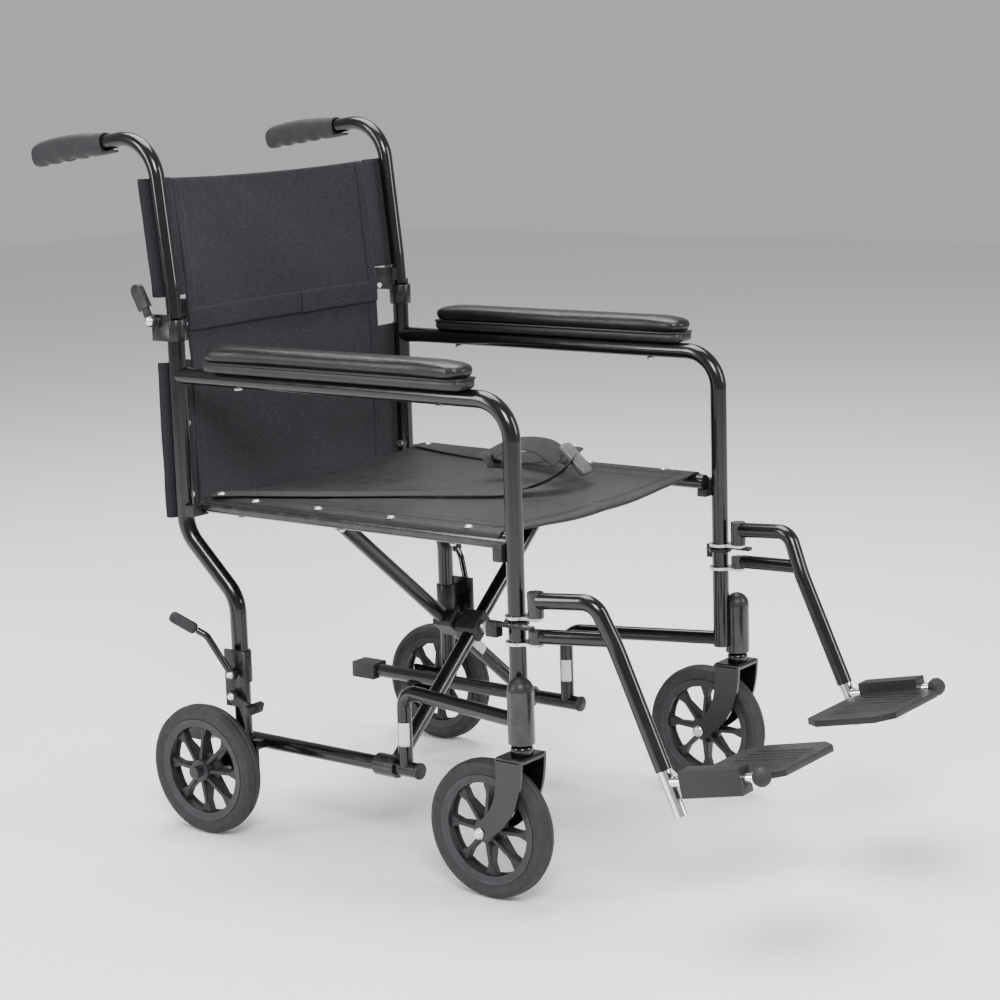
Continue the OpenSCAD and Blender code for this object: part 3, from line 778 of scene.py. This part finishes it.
def back(name, node, line, z0, z1, edge_z, bodies, sagging, dip, hem):
    """One panel with its bottom hem, side hems and stitches, and its edges round the tubes."""
    rows = panel_rows(line, z0, z1, sagging, dip=dip)
    panel = squashed(grid(name, rows, CLOTH, 0.0030), bodies[0])
    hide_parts(node)
    lines = []
    bands = [(*hem, -HALF, HALF)]
    bands += [(z0 + 0.001, z1 - 0.002, s * HALF, s * (HALF - 0.019)) for s in (-1, 1)]
    for k, (a, b, x0, x1) in enumerate(bands):
        wide = k == 0
        strip = panel_rows(line, a, b, sagging, nx=60 if wide else 5, nz=6 if wide else 40,
                           lift=0.0022 if wide else 0.0018, x0=x0, x1=x1)
        hem = squashed(grid(f"{name}_hem_{k}", strip, CLOTH, 0.0018), bodies[0])
        if wide:
            xs = [x0 + (x1 - x0) * j / 80 for j in range(81)]
            for z in (a + 0.004, (a + b) / 2, b - 0.004):
                lines.append([panel_point(x, z, line, sagging, 0.0032) for x in xs])
        else:
            zs = [a + (b - a) * j / 60 for j in range(61)]
            for x in (x0 + (x1 - x0) * 0.22, x0 + (x1 - x0) * 0.85):
                lines.append([panel_point(x, z, line, sagging, 0.0029) for z in zs])
    squashed(stitches(name + "_stitches", lines, Vector((0, -1, 0))), bodies[0])
    for side, s, body in (("right", -1, bodies[0]), ("left", 1, bodies[1])):
        rows = edge_rows(s, line, edge_z[0], edge_z[1], 30)
        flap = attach(grid(f"{name}_{side}_edge", rows, CLOTH, 0.0024), body)
        zs = [edge_z[0] + (edge_z[1] - edge_z[0]) * i / 40 for i in range(41)]
        seam = [[Vector((s * (SIDE + 0.0125), line(z) + BEHIND + 0.0112, z)) for z in zs]]
        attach(stitches(f"{name}_{side}_seam", seam, Vector((s, 0, 0))), body)


UPPER_SAG, LOWER_SAG = 0.009, 0.007
back("upper_back_cloth", "upper_back", cane_y, 0.730, 0.951, (0.783, 0.952), ("right_cane", "left_cane"),
     UPPER_SAG, 0.005, (0.7295, 0.762))
back("lower_back_cloth", "lower_back", post_y, 0.459, 0.7400, (0.462, 0.690), ("right_frame", "left_frame"),
     LOWER_SAG, 0.0, (0.459, 0.482))
# where the bottom hem of the upper back laps over itself
lap = panel_rows(cane_y, 0.7293, 0.7618, UPPER_SAG, nx=14, nz=6, lift=0.0040, x0=0.040, x1=0.066)
squashed(grid("upper_back_lap", lap, CLOTH, 0.0014), "right_cane")


# ---------------------------------------------------------------- seat sling

SEAT_Y0 = AX - 0.527
SEAT_Y1 = AX - 0.001
SAG = 0.010
RAIL_R, WRAP = 0.011, 0.0128                 # radius of a seat rail, and of the cloth round it


def seat_z(x, y):
    """Height of the sling: it sags between the rails, and its front edge droops."""
    f = 1.0 - min(1.0, abs(x) / RAIL_X) ** 2
    z = RAIL_TOP + 0.0026 - SAG * f
    z += ripple(Vector((x * 7.0, y * 4.0, 1.7)), 0.0040) * f
    edge = max(0.0, 1.0 - (y - SEAT_Y0) / 0.016)
    return z - 0.0050 * edge * edge * f


def seat_rows(s, ny=150, nx=70):
    rows = []
    for i in range(ny + 1):
        y = SEAT_Y0 + (SEAT_Y1 - SEAT_Y0) * i / ny
        pts = []
        for j in range(9):
            a = math.radians(28 + j * 7)
            pts.append(Vector((s * (RAIL_X + WRAP * math.cos(a)), y, RAIL_TOP - RAIL_R + WRAP * math.sin(a))))
        for j in range(nx + 1):
            x = (RAIL_X - 0.002) * (1 - j / nx)
            pts.append(Vector((s * x, y, seat_z(x, y) - (0.0008 if j == 0 else 0.0))))
        rows.append(pts)
    return rows


for side, s, body in SEAT_SIDES:
    rows = seat_rows(s)
    sling = squashed(grid("seat_" + side + "_cloth", rows, NYLON, 0.0026, 0), body)
    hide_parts("seat_" + side)
    lines = []
    ys = [SEAT_Y0 + 0.518 * i / 60 for i in range(61)]
    for x in (0.222, 0.2155, 0.190):
        lines.append([Vector((s * x, y + 0.004, seat_z(x, y) + 0.0013)) for y in ys])
    xs = [0.232 * i / 40 for i in range(1, 41)]
    for y in (SEAT_Y0 + 0.020, SEAT_Y0 + 0.0265, SEAT_Y0 + 0.502):
        lines.append([Vector((s * x, y, seat_z(x, y) + 0.0013)) for x in xs])
    thread = stitches("seat_" + side + "_stitches", lines, Vector((0, 0, 1)))
    squashed(thread, body)


# ---------------------------------------------------------------- lap belt

def smooth_path(points, n=12):
    """A smooth curve through the points, n steps from each to the next."""
    p = [Vector(q) for q in points]
    p = [p[0] * 2 - p[1]] + p + [p[-1] * 2 - p[-2]]
    out = []
    for i in range(1, len(p) - 2):
        for k in range(n):
            t = k / n
            out.append(0.5 * ((2 * p[i]) + (p[i + 1] - p[i - 1]) * t
                              + (2 * p[i - 1] - 5 * p[i] + 4 * p[i + 1] - p[i + 2]) * t * t
                              + (3 * p[i] - p[i - 1] - 3 * p[i + 1] + p[i + 2]) * t ** 3))
    out.append(p[-2])
    return out


def strap(name, points, width, body, twist=(0.0, 0.0)):
    """Flat webbing along a path; twist is its roll in degrees at both ends."""
    path = smooth_path([(x, AX + y, z) for x, y, z in points])
    rows = []
    for i, c in enumerate(path):
        t = (path[min(i + 1, len(path) - 1)] - path[max(i - 1, 0)]).normalized()
        side = t.cross(Vector((0, 0, 1))).normalized()
        a = math.radians(twist[0] + (twist[1] - twist[0]) * i / (len(path) - 1))
        up = Vector((0, 0, 1))
        d = side * math.cos(a) + up * math.sin(a)
        rows.append([c + d * width * (j / 6 - 0.5) + up * 0.0006 * (1 - (j / 3 - 1) ** 2) for j in range(7)])
    obj = squashed(grid(name, rows, WEBBING, 0.0017), body)
    return obj


near = strap("belt_right_strap",
             [(-0.240, -0.006, 0.4990), (-0.214, -0.058, 0.4995), (-0.150, -0.150, 0.4960),
              (-0.066, -0.262, 0.4925), (-0.020, -0.338, 0.4915), (-0.003, -0.360, 0.4915)],
             0.038, "brace_b")
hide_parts("belt_right")
middle_strap = strap("belt_left_strap",
                     [(0.003, -0.366, 0.4935), (0.030, -0.390, 0.5010), (0.060, -0.402, 0.5120),
                      (0.092, -0.404, 0.5240)],
                     0.042, "brace_a", twist=(8, 50))
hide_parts("belt_left")
strap("belt_far_strap",
      [(0.122, -0.392, 0.5260), (0.150, -0.352, 0.5230), (0.186, -0.250, 0.5040),
       (0.214, -0.110, 0.5000), (0.240, -0.006, 0.4990)],
      0.038, "brace_a", twist=(42, 0))
strap("belt_tail",
      [(0.100, -0.382, 0.5260), (0.112, -0.340, 0.5400), (0.108, -0.292, 0.5400),
       (0.090, -0.262, 0.5240), (0.084, -0.276, 0.5060)],
      0.036, "brace_a", twist=(40, 10))


def buckle():
    """Two-part side buckle: a rounded shell with a raised centre and side clips."""
    verts, faces = [], []
    nx, ny = 18, 14
    for top in (1, -1):
        for i in range(nx + 1):
            for j in range(ny + 1):
                u, v = i / nx * 2 - 1, j / ny * 2 - 1
                x, y = 0.0190 * u, 0.0290 * v
                edge = max(abs(u) ** 6, abs(v) ** 6)
                h = 0.0058 * (1 - 0.55 * edge)
                if top > 0 and abs(u) < 0.42 and abs(v) < 0.62:
                    h += 0.0012
                if top > 0 and 0.50 < abs(u) < 0.60:
                    h -= 0.0012
                verts.append(Vector((x * (1 - 0.10 * abs(v) ** 4), y * (1 - 0.10 * abs(u) ** 4), top * h)))
    base = (nx + 1) * (ny + 1)
    for t in range(2):
        for i in range(nx):
            for j in range(ny):
                k = t * base + i * (ny + 1) + j
                faces.append((k, k + 1, k + ny + 2, k + ny + 1))
    rim = [i * (ny + 1) for i in range(nx + 1)] + [nx * (ny + 1) + j for j in range(1, ny + 1)]
    rim += [i * (ny + 1) + ny for i in range(nx - 1, -1, -1)] + list(range(ny - 1, 0, -1))
    for a, b in zip(rim, rim[1:] + rim[:1]):
        faces.append((a, b, b + base, a + base))
    obj = add("belt_buckle_shell", verts, faces, BUCKLE)
    subdivide(obj, 2)
    bake(obj)
    shade_smooth(obj)
    turn = Matrix.Rotation(math.radians(14), 4, "Z") @ Matrix.Rotation(math.radians(48), 4, "X")
    obj.matrix_world = Matrix.Translation(Vector((0.108, AX - 0.402, 0.5265))) @ turn
    bpy.context.view_layer.update()
    obj.data.transform(obj.matrix_world)
    obj.matrix_world = Matrix.Identity(4)
    return obj


shell = squashed(buckle(), "brace_a")
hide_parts("belt_buckle")


# ---------------------------------------------------------------- arm pads

def pad_mesh(name, cx, y0, y1, z0, z1, width):
    """Closed, crowned pad: a rounded section swept along Y, drawn in at both ends."""
    ring, steps = 36, 44
    verts = []
    for i in range(steps + 1):
        t = i / steps
        y = y0 + (y1 - y0) * (0.5 - 0.5 * math.cos(math.pi * t))
        d = min(y - y0, y1 - y)
        round_end = math.sqrt(max(0.0, 1 - max(0.0, 1 - d / 0.024) ** 2))
        for j in range(ring):
            a = 2 * math.pi * j / ring
            c, s = math.cos(a), math.sin(a)
            x = width / 2 * (0.22 + 0.78 * round_end) * math.copysign(abs(c) ** 0.62, c)
            z = (z0 + z1) / 2 + (z1 - z0) / 2 * (0.30 + 0.70 * round_end) * math.copysign(abs(s) ** 0.66, s)
            verts.append(Vector((cx + x, y, z)))
    faces = bridge(steps + 1, ring)
    faces.append(tuple(range(ring)))
    faces.append(tuple(steps * ring + j for j in range(ring)))
    return add(name, verts, faces, VINYL)


def inflate(obj, cap, floor, voxel=0.005, pressure=4.0):
    """Swell a closed pad a little with a short cloth run, never further than cap nor below floor."""
    scene = bpy.context.scene
    m = obj.modifiers.new("remesh", "REMESH")
    m.mode = "VOXEL"
    m.voxel_size = voxel
    bake(obj)
    start = [v.co.copy() for v in obj.data.vertices]
    cloth = obj.modifiers.new("cloth", "CLOTH")
    cloth.settings.use_pressure = True
    cloth.settings.uniform_pressure_force = pressure
    cloth.settings.effector_weights.gravity = 0.0
    cloth.settings.quality = 5
    for f in range(1, 21):
        scene.frame_set(f)
    bake(obj)
    scene.frame_set(1)
    for v, a in zip(obj.data.vertices, start):
        d = v.co - a
        if d.length > cap:
            v.co = a + d * (cap / d.length)
        if v.co.z < floor:
            v.co.z = floor
    obj.modifiers.new("relax", "SMOOTH").iterations = 4
    subdivide(obj, 1)
    bake(obj)
    shade_smooth(obj)


low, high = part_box("right_arm_pad")
for side, s in SIDES:
    cx = s * 0.266
    z0 = low.z + 0.0125
    pad = pad_mesh(side + "_pad", cx, low.y + 0.002, high.y - 0.002, z0 + 0.0005, high.z - 0.0005, 0.052)
    inflate(pad, cap=0.003, floor=z0 + 0.0004)
    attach(pad, side + "_frame")
    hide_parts(side + "_arm_pad")
    # welt along the lower edge
    welt_r, turns, thin = 0.0013, 120, 8
    loop = []
    for i in range(turns + 1):
        a = 2 * math.pi * i / turns
        c, d = math.cos(a), math.sin(a)
        x = 0.0238 * math.copysign(abs(c) ** 0.35, c)
        y = (high.y - low.y - 0.006) / 2 * math.copysign(abs(d) ** 0.12, d)
        loop.append(Vector((cx + x, (low.y + high.y) / 2 + y, z0 + 0.0015)))
    verts = []
    for i, c in enumerate(loop[:-1]):
        t = (loop[i + 1] - loop[i - 1 if i else -2]).normalized()
        out = t.cross(Vector((0, 0, 1))).normalized()
        for j in range(thin):
            a = 2 * math.pi * j / thin
            verts.append(c + out * welt_r * math.cos(a) + Vector((0, 0, 1)) * welt_r * math.sin(a))
    welt = add(side + "_pad_welt", verts, bridge(turns, thin, closed=True), VINYL)
    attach(welt, side + "_frame")
    # moulded base under the pad
    round_n = 48
    verts = []
    for z, inset in ((low.z + 0.0004, 0.0030), (low.z + 0.0030, 0.0004), (low.z + 0.0150, 0.0)):
        for i in range(round_n):
            a = 2 * math.pi * (i + 0.5) / round_n
            c, d = math.cos(a), math.sin(a)
            x = (0.0228 - inset) * math.copysign(abs(c) ** 0.3, c)
            y = ((high.y - low.y) / 2 - 0.004 - inset) * math.copysign(abs(d) ** 0.10, d)
            verts.append(Vector((cx + x, (low.y + high.y) / 2 + y, z)))
    faces = bridge(3, round_n)
    faces += [tuple(range(round_n)), tuple(2 * round_n + i for i in range(round_n))]
    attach(add(side + "_pad_base", verts, faces, PLASTIC), side + "_frame")


# ---------------------------------------------------------------- stage and light

def area(name, at, target, size, power, color=(1.0, 1.0, 1.0)):
    data = bpy.data.lights.new(name, "AREA")
    data.shape = "RECTANGLE"
    data.size, data.size_y = size
    data.energy = power
    data.color = color
    obj = bpy.data.objects.new(name, data)
    bpy.context.scene.collection.objects.link(obj)
    obj.location = at
    obj.rotation_euler = (Vector(target) - Vector(at)).to_track_quat("-Z", "Y").to_euler()


corners = [(x, y, -0.0006) for x, y in ((-9, -9), (9, -9), (9, 9), (-9, 9))]
floor = add("floor", corners, [(0, 1, 2, 3)], plain("floor_paper", (0.86, 0.86, 0.86), 0.75), smooth=False)

world = bpy.data.worlds.new("studio")
bpy.context.scene.world = world
world.use_nodes = True
sky = world.node_tree.nodes["Background"].inputs
sky["Color"].default_value = (0.94, 0.95, 0.96, 1.0)
sky["Strength"].default_value = 0.50

area("key", (-2.6, -2.2, 2.9), (0, 0, 0.5), (1.3, 1.3), 185)
area("fill", (-3.2, 1.8, 1.8), (0, 0, 0.5), (0.7, 2.2), 85)
area("front", (1.2, -3.4, 2.0), (0, 0, 0.5), (1.0, 2.0), 80)
area("top", (0.4, 0.6, 3.4), (0, 0, 0.4), (2.4, 2.4), 200)
